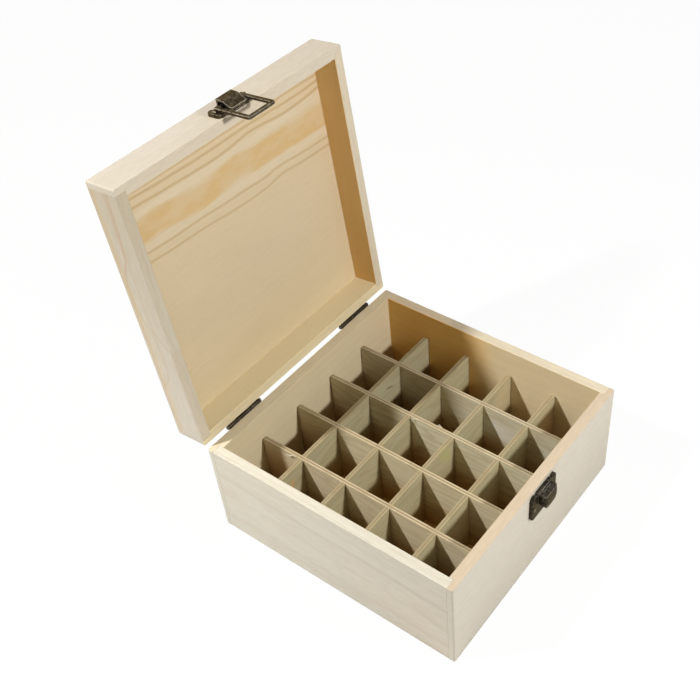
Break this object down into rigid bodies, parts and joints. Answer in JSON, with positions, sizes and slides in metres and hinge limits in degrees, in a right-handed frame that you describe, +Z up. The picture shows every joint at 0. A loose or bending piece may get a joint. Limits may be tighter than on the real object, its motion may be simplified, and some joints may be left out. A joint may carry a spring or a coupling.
{
  "type": "storage box",
  "caption": "Square pine storage box with a hinged lid, a lift-out grid of half-lapped dividers for small bottles and a loop latch on the front.",
  "frame": {"origin": "centre of the flat underside of the box", "axes": "+Z up, +Y towards the hinges at the back, +X to the right seen from the front"},
  "size_m": [0.185, 0.2361, 0.2658],
  "materials": {
    "pine": "raw, sanded pale pine",
    "plywood": "raw thin plywood with layered edges",
    "bronze": "darkened antique bronze, worn bright at the edges"
  },
  "bodies": {
    "box": {"box_front": "pine", "box_back": "pine", "box_left": "pine", "box_right": "pine", "box_bottom": "pine", "hinge_box_leaf_left": "bronze", "hinge_box_leaf_right": "bronze", "hinge_pin_left": "bronze", "hinge_pin_right": "bronze", "hinge_box_screws": "bronze", "catch_plate": "bronze", "catch_screws": "bronze"},
    "lid": {"lid_front": "pine", "lid_back": "pine", "lid_left": "pine", "lid_right": "pine", "lid_top": "pine", "hinge_lid_leaf_left": "bronze", "hinge_lid_leaf_right": "bronze", "hinge_lid_screws": "bronze", "latch_plate": "bronze", "latch_screws": "bronze"},
    "loop": {"latch_loop": "bronze"},
    "grid": {"divider_long_1": "plywood", "divider_long_2": "plywood", "divider_long_3": "plywood", "divider_long_4": "plywood", "divider_cross_1": "plywood", "divider_cross_2": "plywood", "divider_cross_3": "plywood", "divider_cross_4": "plywood"}
  },
  "joints": [
    {"name": "lid_hinge", "type": "hinge", "parent": "box", "child": "lid", "pos_m": [0, 0.0943, 0.0732], "axis": [-1, 0, 0], "range_deg": [-95.8, 0]},
    {"name": "loop_swing", "type": "hinge", "parent": "lid", "child": "loop", "pos_m": [0.0014, 0.1203, 0.26184], "axis": [-1, 0, 0], "range_deg": [0, 180]},
    {"name": "grid_lift", "type": "slide", "parent": "box", "child": "grid", "axis": [0, 0, 1], "range_m": [0, 0.039]}
  ]
}
